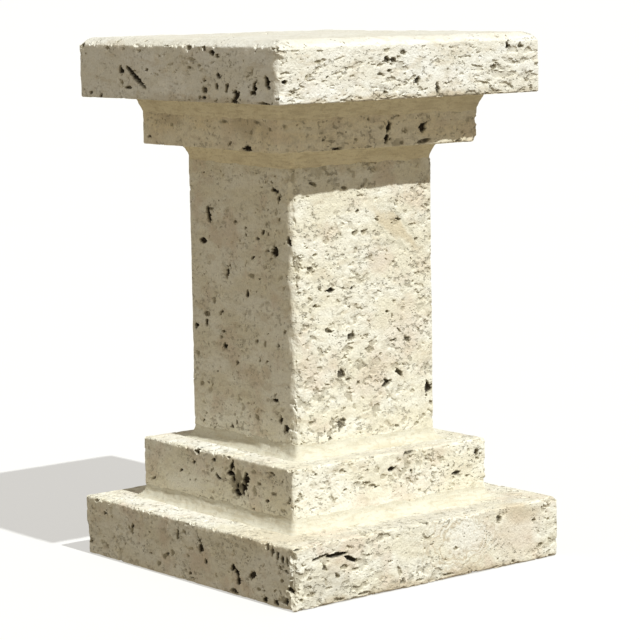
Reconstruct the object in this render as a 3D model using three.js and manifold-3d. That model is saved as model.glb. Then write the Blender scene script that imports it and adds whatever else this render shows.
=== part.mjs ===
// A stepped square pedestal in travertine: five blocks laid on each other, with a fillet of
// mortar in each inner corner. Millimetres, +Z up. The origin is the middle of the base
// slab's underside, and the base slab's sides lie along X and Y. The faces towards -X, -Y,
// +X and +Y are called west, south, east and north.
import * as THREE from 'three';
import { mergeVertices } from 'three/addons/utils/BufferGeometryUtils.js';
import Module from 'manifold-3d';

const wasm = await Module();
wasm.setup();

// Driving dimensions of the blocks, from the ground up.
const baseSlabWidth = 394;
const baseSlabHeight = 70;
const lowerStepWidth = 285;
const lowerStepHeight = 70;
const shaftWidth = 200;
const shaftHeight = 342.8;
const capStepWidth = 276;
const capStepHeight = 55;
const topSlabWidth = 375;
const topSlabHeight = 70;

// The blocks were laid by hand: each is turned a little, in degrees, and the upper four
// stand a little off the middle of the base slab.
const lowerStepTurn = -0.5;
const shaftTurn = -1.5;
const capStepTurn = -3.2;
const topSlabTurn = -0.4;
const upperShiftX = -5;
const upperShiftY = 3;

// Wear of the arrises, as radii.
const cornerRound = 4;
const arrisRound = 3;
const bedArrisRound = 2;

// The top slab's upper edge is worn to a brow, which starts at an arris on the side and
// flattens inwards.
const browRise = 9;
const browReach = 16;
const browFullness = 1.7;

// Joints and mortar.
const bedJoint = 0.3;
const mortarGap = 0.3;
const mortarLip = 1;
const footFilletReach = 9;
const footFilletRise = 15;
const headFilletReach = 8;
const headFilletDrop = 19;
const filletHollow = 0.6;

// How finely rounds are cut.
const cornerSteps = 3;
const arrisSteps = 2;
const filletSteps = 4;
const browSteps = 4;

// Pores on the hidden faces.
const hiddenPoreSpacing = 95;
const hiddenPoreSize = 7;
const hiddenPoreDepth = 3.5;

const travertine = new THREE.MeshStandardMaterial({ color: '#e6decb', roughness: 0.85, metalness: 0 });
const mortar = new THREE.MeshStandardMaterial({ color: '#ece3c4', roughness: 0.92, metalness: 0 });

// A repeatable source of numbers from 0 to 1.
function makeRandom(seed) {
  let state = seed;
  return () => {
    state = (state * 1664525 + 1013904223) % 4294967296;
    return state / 4294967296;
  };
}

// The outline of a square with round corners, as points in order.
function roundSquare(half, radius) {
  const points = [];
  const middle = half - radius;
  for (let corner = 0; corner < 4; corner += 1) {
    const start = (corner * Math.PI) / 2;
    const side = start + Math.PI / 4;
    const centreX = Math.sign(Math.cos(side)) * middle;
    const centreY = Math.sign(Math.sin(side)) * middle;
    for (let step = 0; step <= cornerSteps; step += 1) {
      const angle = start + (step / cornerSteps) * (Math.PI / 2);
      points.push([centreX + radius * Math.cos(angle), centreY + radius * Math.sin(angle)]);
    }
  }
  return points;
}

// A closed solid through rings of equal count. A looped stack joins its last ring to its
// first, and an open one gets a flat cap at each end.
function loft(rings, looped) {
  const count = rings[0].length;
  const positions = rings.flat(2);
  const index = [];
  const spans = looped ? rings.length : rings.length - 1;
  for (let ring = 0; ring < spans; ring += 1) {
    const below = ring * count;
    const above = ((ring + 1) % rings.length) * count;
    for (let point = 0; point < count; point += 1) {
      const next = (point + 1) % count;
      index.push(below + point, below + next, above + next);
      index.push(below + point, above + next, above + point);
    }
  }
  if (!looped) {
    const last = (rings.length - 1) * count;
    for (let point = 1; point < count - 1; point += 1) {
      index.push(0, point + 1, point);
      index.push(last, last + point, last + point + 1);
    }
  }
  const geometry = new THREE.BufferGeometry();
  geometry.setAttribute('position', new THREE.Float32BufferAttribute(positions, 3));
  geometry.setIndex(index);
  return geometry;
}

function toSolid(geometry) {
  const bare = geometry.clone();
  bare.deleteAttribute('normal');
  bare.deleteAttribute('uv');
  const merged = mergeVertices(bare, 1e-4);
  return new wasm.Manifold(new wasm.Mesh({
    numProp: 3,
    vertProperties: new Float32Array(merged.attributes.position.array),
    triVerts: new Uint32Array(merged.index.array),
  }));
}

function toGeometry(solid) {
  const mesh = solid.getMesh();
  const geometry = new THREE.BufferGeometry();
  geometry.setAttribute('position', new THREE.BufferAttribute(mesh.vertProperties, 3));
  geometry.setIndex(new THREE.BufferAttribute(mesh.triVerts, 1));
  geometry.computeVertexNormals();
  return geometry;
}

// Wear profiles of an upper edge, as pairs of an inset and a drop below the top, from the
// side inwards.
function roundEdge(radius) {
  return Array.from({ length: arrisSteps + 1 }, (_, step) => {
    const angle = (step / arrisSteps) * (Math.PI / 2);
    return [radius * (1 - Math.cos(angle)), radius * (1 - Math.sin(angle))];
  });
}

function wornBrow() {
  return Array.from({ length: browSteps + 1 }, (_, step) => {
    const share = step / browSteps;
    return [browReach * share, browRise * (1 - share) ** browFullness];
  });
}

// A block's body: upright sides with round corners, and its own wear at foot and top.
function blockBody(width, height, footRound, topEdge) {
  const half = width / 2;
  const rings = [];
  const addRing = (inset, z) => {
    const radius = Math.max(cornerRound - inset, cornerRound / 4);
    rings.push(roundSquare(half - inset, radius).map(([x, y]) => [x, y, z]));
  };
  for (let step = 0; step <= arrisSteps; step += 1) {
    const angle = (step / arrisSteps) * (Math.PI / 2);
    addRing(footRound * (1 - Math.sin(angle)), footRound * (1 - Math.cos(angle)));
  }
  for (const [inset, drop] of topEdge) {
    addRing(inset, height - drop);
  }
  return loft(rings, false);
}

// Hollows are rough ellipsoids cut into a block. Their places are shares of the block: -1 to
// 1 across each side, and 0 to 1 up. Their sizes are in millimetres. A lean lifts the end
// towards +X or +Y, in degrees.
function westHollow(across, up, wide, tall, deep, lean = 0) {
  return { share: [-1, across, up], radii: [deep, wide / 2, tall / 2], lean: [lean, 0] };
}

function southHollow(across, up, wide, tall, deep, lean = 0) {
  return { share: [across, -1, up], radii: [wide / 2, deep, tall / 2], lean: [0, -lean] };
}

function eastHollow(across, up, wide, tall, deep) {
  return { share: [1, across, up], radii: [deep, wide / 2, tall / 2], lean: [0, 0] };
}

function northHollow(across, up, wide, tall, deep) {
  return { share: [across, 1, up], radii: [wide / 2, deep, tall / 2], lean: [0, 0] };
}

function cornerChip(sideX, sideY, up, bite, tall) {
  return { share: [sideX, sideY, up], radii: [bite, bite, tall / 2], lean: [0, 0] };
}

// A few pores on the two hidden faces, scattered but always in the same places.
function hiddenHollows(width, height, seed) {
  const random = makeRandom(seed);
  const perFace = Math.max(2, Math.round((width * height) / hiddenPoreSpacing ** 2));
  const hollows = [];
  for (const face of [eastHollow, northHollow]) {
    for (let pore = 0; pore < perFace; pore += 1) {
      const across = -0.85 + 1.7 * random();
      const up = 0.12 + 0.76 * random();
      const wide = hiddenPoreSize * (0.7 + 0.8 * random());
      const tall = hiddenPoreSize * (0.6 + 0.6 * random());
      hollows.push(face(across, up, wide, tall, hiddenPoreDepth));
    }
  }
  return hollows;
}

// The body that cuts one hollow, with an uneven surface.
function hollowCutter(hollow, width, height, random) {
  const ball = mergeVertices(new THREE.IcosahedronGeometry(1, 1).deleteAttribute('normal').deleteAttribute('uv'));
  const position = ball.attributes.position;
  for (let vertex = 0; vertex < position.count; vertex += 1) {
    const swell = 0.82 + 0.3 * random();
    position.setXYZ(vertex, position.getX(vertex) * swell, position.getY(vertex) * swell, position.getZ(vertex) * swell);
  }
  ball.scale(...hollow.radii);
  ball.rotateX(THREE.MathUtils.degToRad(hollow.lean[0]));
  ball.rotateY(THREE.MathUtils.degToRad(hollow.lean[1]));
  const [shareX, shareY, shareUp] = hollow.share;
  ball.translate((shareX * width) / 2, (shareY * width) / 2, shareUp * height);
  return toSolid(ball);
}

function carve(body, hollows, width, height, seed) {
  const random = makeRandom(seed);
  let solid = toSolid(body);
  for (const hollow of hollows) {
    solid = solid.subtract(hollowCutter(hollow, width, height, random));
  }
  return toGeometry(solid);
}

// The hollows that show on each block, read off its two visible faces.
const baseSlabHollows = [
  westHollow(-0.47, 0.33, 4.5, 22, 5, -36),
  westHollow(-0.15, 0.63, 8, 7, 5),
  westHollow(0.52, 0.63, 4.5, 10, 5),
  westHollow(-0.64, 0.41, 8, 7, 5),
  westHollow(-0.74, 0.04, 14, 8, 5),
  westHollow(-0.86, 0.06, 12, 8, 5),
  cornerChip(-1, -1, 0.32, 7, 20),
  cornerChip(-1, -1, 0.84, 8, 16),
  cornerChip(-1, 1, 0.22, 6, 46),
  southHollow(-0.77, 0.77, 36, 4, 5, -1),
  southHollow(-0.61, 0.68, 36, 4, 5, -23),
  southHollow(-0.64, 0.53, 9, 7, 5),
  southHollow(-0.31, 0.48, 8, 7, 5),
  southHollow(0.53, 0.82, 8, 7, 4),
  southHollow(0.76, 0.67, 7, 7, 4),
  southHollow(-0.23, 0.04, 18, 8, 5),
  southHollow(0.3, 0.02, 22, 6, 4),
  southHollow(0, 0.4, 9, 7, 5),
];
const lowerStepHollows = [
  westHollow(-0.29, 0.6, 25, 24, 10),
  westHollow(-0.2, 0.83, 8, 11, 6, 20),
  westHollow(0.02, 0.88, 7, 6, 4),
  westHollow(-0.03, 0.61, 7, 6, 4),
  southHollow(-0.01, 0.74, 12, 7, 5),
  southHollow(0.66, 0.49, 9, 7, 5),
  southHollow(0.19, 0.99, 16, 6, 4, 20),
  southHollow(-0.27, 0.68, 7, 6, 4),
  cornerChip(1, -1, 0.25, 6, 10),
];
const shaftHollows = [
  westHollow(0.58, 0.77, 5, 22, 5, -28),
  westHollow(-0.7, 0.87, 15, 6, 4, 20),
  westHollow(-0.12, 0.52, 5, 11, 5),
  westHollow(0.57, 0.48, 7, 7, 4),
  westHollow(0.27, 0.58, 7, 7, 4),
  westHollow(0.34, 0.33, 8, 7, 4),
  westHollow(-0.4, 0.25, 8, 7, 4),
  westHollow(-0.61, 0.18, 8, 8, 5),
  westHollow(0.56, 0.24, 7, 7, 4),
  westHollow(-0.79, 0.09, 8, 10, 5),
  westHollow(-0.68, 0.67, 7, 7, 4),
  southHollow(-0.36, 0.26, 6, 12, 5, -25),
  southHollow(0.27, 0.22, 9, 7, 5),
  southHollow(0.92, 0.17, 8, 7, 5),
  southHollow(-0.21, 0.38, 7, 7, 4),
  southHollow(-0.48, 0.54, 7, 7, 4),
  southHollow(0.07, 0.32, 7, 9, 4),
  southHollow(-0.31, 0.08, 7, 7, 4),
];
const capStepHollows = [
  westHollow(-0.55, 0.05, 12, 9, 5),
  westHollow(-0.23, 0.6, 9, 7, 4),
  southHollow(0.08, 0.46, 7, 10, 5),
  southHollow(0.07, 0.28, 7, 10, 5),
  southHollow(0.43, 0.39, 8, 9, 5),
  southHollow(-0.45, 0.04, 9, 7, 4),
  cornerChip(1, -1, 0.46, 5, 9),
  cornerChip(1, -1, 0, 8, 10),
];
const topSlabHollows = [
  westHollow(0.4, 0.37, 34, 5, 5, 32),
  westHollow(-0.78, 0.27, 9, 14, 6),
  westHollow(-0.9, 0.32, 9, 19, 6),
  westHollow(-0.52, 0.25, 8, 7, 5),
  westHollow(0.55, 0.47, 7, 6, 4),
  westHollow(-0.31, 0.19, 8, 7, 4),
  westHollow(-0.86, 0, 16, 6, 4),
  westHollow(-0.58, 0.02, 14, 6, 4),
  southHollow(0.74, 0.76, 7, 9, 5),
  southHollow(0.64, 0.44, 7, 7, 4),
  southHollow(-0.4, 0.57, 14, 5, 4),
  southHollow(-0.2, 0.62, 9, 7, 4),
  southHollow(0.18, 0.07, 7, 13, 5),
  southHollow(0.89, 0.21, 8, 7, 4),
  southHollow(-0.95, 0.37, 8, 8, 4),
];

// The blocks in the order they were laid.
const courses = [
  {
    name: 'base_slab', width: baseSlabWidth, height: baseSlabHeight,
    footRound: arrisRound, topEdge: roundEdge(arrisRound),
    turn: 0, shift: [0, 0], hollows: baseSlabHollows, seed: 11,
  },
  {
    name: 'lower_step', width: lowerStepWidth, height: lowerStepHeight,
    footRound: bedArrisRound, topEdge: roundEdge(arrisRound),
    turn: lowerStepTurn, shift: [upperShiftX, upperShiftY], hollows: lowerStepHollows, seed: 23,
  },
  {
    name: 'shaft', width: shaftWidth, height: shaftHeight,
    footRound: bedArrisRound, topEdge: roundEdge(bedArrisRound),
    turn: shaftTurn, shift: [upperShiftX, upperShiftY], hollows: shaftHollows, seed: 37,
  },
  {
    name: 'cap_step', width: capStepWidth, height: capStepHeight,
    footRound: arrisRound, topEdge: roundEdge(bedArrisRound),
    turn: capStepTurn, shift: [upperShiftX, upperShiftY], hollows: capStepHollows, seed: 41,
  },
  {
    name: 'top_slab', width: topSlabWidth, height: topSlabHeight,
    footRound: arrisRound, topEdge: wornBrow(),
    turn: topSlabTurn, shift: [upperShiftX, upperShiftY], hollows: topSlabHollows, seed: 59,
  },
];

const pedestal = new THREE.Group();

function place(mesh, course, z) {
  mesh.position.set(course.shift[0], course.shift[1], z);
  mesh.rotation.z = THREE.MathUtils.degToRad(course.turn);
  pedestal.add(mesh);
}

// Lay the blocks, each a bed joint above the one below.
let floor = 0;
for (const course of courses) {
  course.floor = floor;
  const body = blockBody(course.width, course.height, course.footRound, course.topEdge);
  const hollows = [...course.hollows, ...hiddenHollows(course.width, course.height, course.seed)];
  const mesh = new THREE.Mesh(carve(body, hollows, course.width, course.height, course.seed), travertine);
  mesh.name = course.name;
  place(mesh, course, floor);
  floor += course.height + bedJoint;
}

// A ring of mortar round the narrower block where it meets the wider one. The section is
// measured out from the narrow block's side and away from the wide block's face, and
// direction is 1 for a foot fillet and -1 for one under an overhang.
function mortarFillet(name, narrow, wide, reachWanted, rise, direction) {
  const tread = (wide.width - narrow.width) / 2;
  const reach = Math.min(reachWanted, tread - cornerRound - mortarLip);
  const start = mortarGap + mortarLip;
  const section = [[mortarGap, mortarGap], [reach, mortarGap]];
  for (let step = 0; step <= filletSteps; step += 1) {
    const share = step / filletSteps;
    const angle = (share * Math.PI) / 2;
    const arc = [
      reach - (reach - start) * Math.sin(angle),
      rise - (rise - start) * Math.cos(angle),
    ];
    const chord = [reach + (start - reach) * share, start + (rise - start) * share];
    section.push([
      chord[0] + (arc[0] - chord[0]) * filletHollow,
      chord[1] + (arc[1] - chord[1]) * filletHollow,
    ]);
  }
  section.push([mortarGap, rise]);
  const ordered = direction > 0 ? section : section.reverse();
  const rings = ordered.map(([out, away]) => (
    roundSquare(narrow.width / 2 + out, cornerRound + out).map(([x, y]) => [x, y, away * direction])
  ));
  const geometry = loft(rings, true);
  geometry.computeVertexNormals();
  const mesh = new THREE.Mesh(geometry, mortar);
  mesh.name = name;
  place(mesh, narrow, direction > 0 ? wide.floor + wide.height : wide.floor);
}

const [baseSlab, lowerStep, shaft, capStep, topSlab] = courses;
mortarFillet('lower_step_foot_fillet', lowerStep, baseSlab, footFilletReach, footFilletRise, 1);
mortarFillet('shaft_foot_fillet', shaft, lowerStep, footFilletReach, footFilletRise, 1);
mortarFillet('shaft_head_fillet', shaft, capStep, headFilletReach, headFilletDrop, -1);
mortarFillet('cap_step_head_fillet', capStep, topSlab, headFilletReach, headFilletDrop, -1);

export default pedestal;
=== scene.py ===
"""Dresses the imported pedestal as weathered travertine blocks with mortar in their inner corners.

Every length in this file is in metres, except where a name ends in _mm. The faces towards -X, -Y,
+X and +Y are called west, south, east and north, as in the part's own source.
"""

import logging
import math
from dataclasses import dataclass, field, replace
from enum import Enum
from typing import Any, Iterable, Union

import bmesh
import bpy
import numpy as np
from mathutils import Matrix, Vector


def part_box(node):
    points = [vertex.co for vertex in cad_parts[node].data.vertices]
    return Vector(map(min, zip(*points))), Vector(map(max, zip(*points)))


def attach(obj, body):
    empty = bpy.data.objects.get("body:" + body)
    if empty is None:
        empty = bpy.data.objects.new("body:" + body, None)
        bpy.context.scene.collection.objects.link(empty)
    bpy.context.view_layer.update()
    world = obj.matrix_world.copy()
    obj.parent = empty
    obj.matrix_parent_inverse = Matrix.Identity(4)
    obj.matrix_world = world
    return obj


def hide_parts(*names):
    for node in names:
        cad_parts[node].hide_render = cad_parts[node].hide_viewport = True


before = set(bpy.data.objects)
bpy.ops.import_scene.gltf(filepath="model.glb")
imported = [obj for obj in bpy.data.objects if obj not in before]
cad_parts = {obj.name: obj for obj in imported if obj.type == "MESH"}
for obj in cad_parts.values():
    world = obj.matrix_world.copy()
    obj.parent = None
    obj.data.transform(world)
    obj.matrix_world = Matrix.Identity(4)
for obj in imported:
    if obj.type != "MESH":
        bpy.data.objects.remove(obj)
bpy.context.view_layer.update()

log = logging.getLogger("pedestal")

MM = 0.001
# where the upper blocks stand, measured from the base slab
UPPER_SHIFT = (-5.0 * MM, 3.0 * MM)
# how far round a hollow, and how far from an arris, each pass cuts the cells smaller
REFINE_MARGINS = (2.4 * MM, 1.2 * MM, 0.6 * MM)
ARRIS_BANDS = (7.0 * MM, 4.0 * MM, 0.0)
# points closer than this to a side belong to it
SURFACE = 0.1 * MM
# a mark's half size for each millimetre of its size, with room for its ragged rim
MARK_SPREAD = 0.58 * MM
# a pore's painted shade is darkest from this depth on
SHADE_FULL_DEPTH = 3.0 * MM
# the rounding of a fillet's ring at the corners
RING_CORNER = 5.0 * MM
Triple = tuple[float, float, float]
NOISE_TURN = Matrix.Rotation(0.7, 3, "X") @ Matrix.Rotation(0.5, 3, "Y") @ Matrix.Rotation(0.9, 3, "Z")
NOISE_AXES = np.array(NOISE_TURN)


def smooth_step(value: np.ndarray, low: float, high: float) -> np.ndarray:
    """Rise smoothly from 0 at low to 1 at high.

    Args:
        value: The numbers to map.
        low: Where the rise starts.
        high: Where the rise ends.

    Returns:
        One number from 0 to 1 for each value.
    """
    share = np.clip((value - low) / (high - low), 0.0, 1.0)
    return share * share * (3.0 - 2.0 * share)


def cell_values(cells: np.ndarray, seed: int) -> np.ndarray:
    """Give each whole-number cell a repeatable number from -1 to 1.

    Args:
        cells: Cells as rows of three whole numbers.
        seed: Which set of numbers to draw from.

    Returns:
        One number for each cell.
    """
    low_bits = 0xFFFFFFFF
    mixed = cells[:, 0] * 374761393 + cells[:, 1] * 668265263 + cells[:, 2] * 2147483647
    mixed = (mixed + seed * 974634777) & low_bits
    mixed = ((mixed ^ (mixed >> 13)) * 1274126177) & low_bits
    mixed = mixed ^ (mixed >> 16)
    return (mixed & 0xFFFF) / 32767.5 - 1.0


def noise(points: np.ndarray, size: float, seed: int) -> np.ndarray:
    """Smooth noise from about -1 to 1.

    Args:
        points: Places, as rows of three numbers.
        size: The size of its swells.
        seed: Which noise it is.

    Returns:
        One number for each point.
    """
    scaled = (points @ NOISE_AXES) / size
    floor = np.floor(scaled)
    part = scaled - floor
    part = part * part * (3.0 - 2.0 * part)
    cells = floor.astype(np.int64)
    total = np.zeros(len(points))
    for corner in np.ndindex(2, 2, 2):
        weight = np.ones(len(points))
        for axis in range(3):
            weight *= part[:, axis] if corner[axis] else 1.0 - part[:, axis]
        total += weight * cell_values(cells + np.array(corner), seed)
    return total


class Face(Enum):
    """A block's faces, each with its directions across, up and inward."""

    WEST = ((0, 1, 0), (0, 0, 1), (1, 0, 0))
    SOUTH = ((1, 0, 0), (0, 0, 1), (0, 1, 0))
    EAST = ((0, 1, 0), (0, 0, 1), (-1, 0, 0))
    NORTH = ((1, 0, 0), (0, 0, 1), (0, -1, 0))
    TOP = ((1, 0, 0), (0, 1, 0), (0, 0, -1))
    FOOT = ((1, 0, 0), (0, 1, 0), (0, 0, 1))

    @property
    def across(self) -> np.ndarray:
        """The face's sideways direction."""
        return np.array(self.value[0], float)

    @property
    def up(self) -> np.ndarray:
        """The face's upward direction."""
        return np.array(self.value[1], float)

    @property
    def inward(self) -> np.ndarray:
        """The direction from the face into the stone."""
        return np.array(self.value[2], float)


SIDES = (Face.WEST, Face.SOUTH, Face.EAST, Face.NORTH)
SEEN_SIDES = (Face.WEST, Face.SOUTH)


@dataclass(frozen=True)
class Mark:
    """A pore or slot that shows in a face.

    Its place is a share of the face: -1 to 1 across and 0 to 1 up. The lean lifts its far end
    across, in degrees.
    """

    face: Face
    across: float
    up: float
    wide_mm: float
    tall_mm: float
    deep_mm: float
    lean: float = 0.0


def marks_on(face: Face, *rows: tuple[float, ...]) -> tuple[Mark, ...]:
    """Marks in one face, from rows of their place, size, depth and lean."""
    return tuple(Mark(face, *row) for row in rows)


@dataclass(frozen=True)
class Chip:
    """A chip off the arris where two faces meet, placed as a share, -1 to 1, along it."""

    first: Face
    second: Face
    along: float
    long_mm: float
    wide_mm: float
    deep_mm: float


@dataclass(frozen=True)
class Calm:
    """A patch of a face where the stone's skin is whole and smooth, placed as a mark is."""

    face: Face
    across: float
    up: float
    wide_mm: float
    tall_mm: float
    lean: float = 0.0


@dataclass(frozen=True, eq=False)
class Hollow:
    """A place where stone is missing: a rough oval in a plane, and how deep it goes below it."""

    centre: np.ndarray
    axes: np.ndarray
    radii: np.ndarray
    # how dark its bottom is painted: painted shade for the shadow inside it
    painted_shade: float = 1.0

    def local(self, points: np.ndarray) -> np.ndarray:
        """Points as seen from the hollow: across it, up it and into the stone."""
        return (points - self.centre) @ self.axes.T


class Buckets:
    """Points sorted into cubes, to find those near a place quickly."""

    def __init__(self, points: np.ndarray, size: float) -> None:
        """Sort the points.

        Args:
            points: Places, as rows of three numbers.
            size: The side of a cube.
        """
        self.size = size
        keys = self._keys(np.floor(points / size).astype(np.int64))
        self.order = np.argsort(keys, kind="stable")
        self.keys = keys[self.order]

    @staticmethod
    def _keys(cells: np.ndarray) -> np.ndarray:
        """One whole number for each cube."""
        shifted = cells + 512
        return (shifted[:, 0] * 1024 + shifted[:, 1]) * 1024 + shifted[:, 2]

    def near(self, centre: np.ndarray, reach: float) -> np.ndarray:
        """Find the points in the cubes that a place reaches.

        Args:
            centre: The place.
            reach: How far from it to look.

        Returns:
            The points' indices.
        """
        low = np.floor((centre - reach) / self.size).astype(np.int64)
        high = np.floor((centre + reach) / self.size).astype(np.int64)
        spans = [np.arange(low[axis], high[axis] + 1) for axis in range(3)]
        cells = np.stack(np.meshgrid(*spans, indexing="ij"), axis=-1).reshape(-1, 3)
        keys = self._keys(cells)
        starts = np.searchsorted(self.keys, keys, side="left")
        ends = np.searchsorted(self.keys, keys, side="right")
        found = [self.order[start:end] for start, end in zip(starts, ends) if end > start]
        return np.concatenate(found) if found else np.empty(0, np.int64)


Value = Union[float, "Wire"]


class Wire:
    """One output of a shader, with arithmetic that adds Math nodes."""

    def __init__(self, graph: "Graph", socket: bpy.types.NodeSocket) -> None:
        """Wrap a socket of a graph's node."""
        self.graph = graph
        self.socket = socket

    def _math(self, operation: str, first: Value, second: Value = 0.0) -> "Wire":
        """Add a Math node that works on one or two values."""
        return self.graph.node("ShaderNodeMath", {"operation": operation}, {0: first, 1: second})

    def __add__(self, other: Value) -> "Wire":
        """Sum."""
        return self._math("ADD", self, other)

    __radd__ = __add__

    def __sub__(self, other: Value) -> "Wire":
        """Difference."""
        return self._math("SUBTRACT", self, other)

    def __rsub__(self, other: Value) -> "Wire":
        """Difference from a plain number."""
        return self._math("SUBTRACT", other, self)

    def __mul__(self, other: Value) -> "Wire":
        """Product."""
        return self._math("MULTIPLY", self, other)

    __rmul__ = __mul__

    def sine(self) -> "Wire":
        """Sine of an angle in radians."""
        return self._math("SINE", self)

    def size(self) -> "Wire":
        """The value without its sign."""
        return self._math("ABSOLUTE", self)

    def rise(self, low: float, high: float) -> "Wire":
        """Rise smoothly from 0 where this is low to 1 where it is high."""
        settings = {"interpolation_type": "SMOOTHSTEP"}
        return self.graph.node("ShaderNodeMapRange", settings, {0: self, 1: low, 2: high})


class Graph:
    """The nodes of one material."""

    def __init__(self, name: str) -> None:
        """Start a material of that name with an empty Principled shader."""
        self.material = bpy.data.materials.new(name)
        self.material.use_nodes = True
        self.tree = self.material.node_tree
        self.tree.nodes.clear()
        self.output = self.tree.nodes.new("ShaderNodeOutputMaterial")
        self.shader = self.tree.nodes.new("ShaderNodeBsdfPrincipled")
        self.tree.links.new(self.shader.outputs[0], self.output.inputs[0])
        place = self.tree.nodes.new("ShaderNodeTexCoord")
        self.place = Wire(self, place.outputs["Object"])

    def _feed(self, socket: bpy.types.NodeSocket, value: Any) -> None:
        """Link a wire to a socket, or set a plain value on it."""
        if isinstance(value, Wire):
            self.tree.links.new(value.socket, socket)
        else:
            socket.default_value = value

    def node(self, kind: str, settings: dict[str, Any], inputs: dict[Any, Any], output: Any = 0) -> Wire:
        """Add a node.

        Args:
            kind: The node's type.
            settings: Attributes that are set before its sockets.
            inputs: Values or wires by socket name or number.
            output: The name or number of the output that is wanted.

        Returns:
            The wanted output.
        """
        made = self.tree.nodes.new(kind)
        for name, value in settings.items():
            setattr(made, name, value)
        for name, value in inputs.items():
            self._feed(made.inputs[name], value)
        return Wire(self, made.outputs[output])

    def centre_on(self, centre: Iterable[float], turn: float) -> None:
        """Measure all that follows from a place, turned about Z by an angle in degrees."""
        inputs = {"Vector": self.place, "Location": list(centre), "Rotation": (0.0, 0.0, math.radians(turn))}
        self.place = self.node("ShaderNodeMapping", {"vector_type": "TEXTURE"}, inputs)

    def mapped(self, turn: Triple, scale: Triple) -> Wire:
        """Object coordinates, turned by angles in degrees and then scaled."""
        inputs = {"Vector": self.place, "Rotation": [math.radians(angle) for angle in turn], "Scale": scale}
        return self.node("ShaderNodeMapping", {"vector_type": "POINT"}, inputs)

    def noise(self, place: Wire, size: float, detail: float = 3.0, shift: float = 0.0) -> Wire:
        """Noise from 0 to 1 with swells of a size, made different by a shift in metres."""
        moved = self.node("ShaderNodeVectorMath", {"operation": "ADD"}, {0: place, 1: (shift, shift, shift)})
        inputs = {"Vector": moved, "Scale": 1.0 / size, "Detail": detail, "Roughness": 0.55}
        return self.node("ShaderNodeTexNoise", {}, inputs)

    def mix(self, share: Value, first: Any, second: Any) -> Wire:
        """Mix two colours."""
        inputs = {0: share, 6: self._colour(first), 7: self._colour(second)}
        return self.node("ShaderNodeMix", {"data_type": "RGBA"}, inputs, 2)

    def shade(self, colour: Any, amount: Wire) -> Wire:
        """Multiply a colour by a number."""
        inputs = {0: colour, 1: amount}
        return self.node("ShaderNodeVectorMath", {"operation": "MULTIPLY"}, inputs)

    @staticmethod
    def _colour(colour: Any) -> Any:
        """Give a plain colour its fourth number."""
        return colour if isinstance(colour, Wire) else (*colour, 1.0)

    def finish(self, colour: Wire, roughness: Value, height: Wire, distance: float, strength: float) -> None:
        """Connect the shader.

        Args:
            colour: The base colour.
            roughness: The roughness.
            height: The height for the bump, in units of distance.
            distance: How high a height of 1 is.
            strength: How strongly the bump shows.
        """
        bump = {"Height": height, "Distance": distance, "Strength": strength}
        self._feed(self.shader.inputs["Base Color"], colour)
        self._feed(self.shader.inputs["Roughness"], roughness)
        self._feed(self.shader.inputs["Normal"], self.node("ShaderNodeBump", {}, bump))
        self.shader.inputs["Specular IOR Level"].default_value = 0.25


CREAM = (0.83, 0.785, 0.63)
PALE = (0.89, 0.865, 0.75)
WHITE_CREAM = (0.84, 0.81, 0.70)
WHITE = (0.90, 0.885, 0.81)
# the cap's golden ground: partly its own tone and partly painted warm bounce light, as the cap stands in
# shade
GOLDEN_WARM_LIT = (0.89, 0.795, 0.58)
GOLDEN_PALE_WARM_LIT = (0.92, 0.86, 0.69)
TAN = (0.60, 0.51, 0.36)
PINKISH = (0.72, 0.61, 0.48)
VEIN = (0.52, 0.49, 0.37)
# PORE_RIM_AND_SHADE is partly the brown tint of pore rims and partly painted shade in pits and specks;
# PORE_DEEP_SHADE is painted shade at the bottom of deep pores
PORE_RIM_AND_SHADE = (0.40, 0.36, 0.26)
BEIGE = (0.60, 0.55, 0.42)
PORE_DEEP_SHADE = (0.035, 0.026, 0.014)
# grey tan for dust stains, and for painted shade on the up-facing tops
DUST_AND_SHADE = (0.60, 0.57, 0.49)
BAND_TAN = (0.66, 0.57, 0.40)
MORTAR = (0.68, 0.65, 0.53)
MORTAR_DARK = (0.56, 0.50, 0.36)
# painted light: the head mortar under the overhangs is a brighter, warmer copy of the foot mortar, standing
# in for warm bounce light in their shade
HEAD_MORTAR_WARM_LIT = (0.90, 0.82, 0.60)
HEAD_MORTAR_DARK_WARM_LIT = (0.68, 0.59, 0.40)
# the pore layer holds painted shade for pores, flake pits and chips
PORE_SHADE_LAYER = "pore"
CALM_LAYER = "calm"


@dataclass(frozen=True)
class Stain:
    """A coloured patch in the stone, with rings where ring_count is more than 0.

    Its centre is measured from the block's middle, and its lean about Y is in degrees.
    """

    centre_mm: Triple
    lean: float
    radii_mm: Triple
    colour: Triple
    strength: float
    ring_count: float = 0.0

    def share(self, graph: Graph) -> Wire:
        """How strongly the patch colours each place.

        Args:
            graph: The material that it is added to.

        Returns:
            A number from 0 to its strength.
        """
        wobble = (graph.noise(graph.place, 0.035, 3.0, 2.0) - 0.5) * 0.03
        inputs = {
            "Vector": graph.node("ShaderNodeVectorMath", {"operation": "ADD"}, {0: graph.place, 1: wobble}),
            "Location": [length * MM for length in self.centre_mm],
            "Rotation": (0.0, math.radians(self.lean), 0.0),
            "Scale": [length * MM for length in self.radii_mm],
        }
        place = graph.node("ShaderNodeMapping", {"vector_type": "TEXTURE"}, inputs)
        reach = graph.node("ShaderNodeVectorMath", {"operation": "LENGTH"}, {0: place}, "Value")
        ragged = reach + graph.noise(graph.place, 0.02) * 0.5 - 0.25
        share = (1.0 - ragged.rise(0.35, 1.0)) * self.strength
        if self.ring_count:
            share = share * (ragged * (self.ring_count * math.tau)).sine().rise(0.0, 1.0)
        return share


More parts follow.
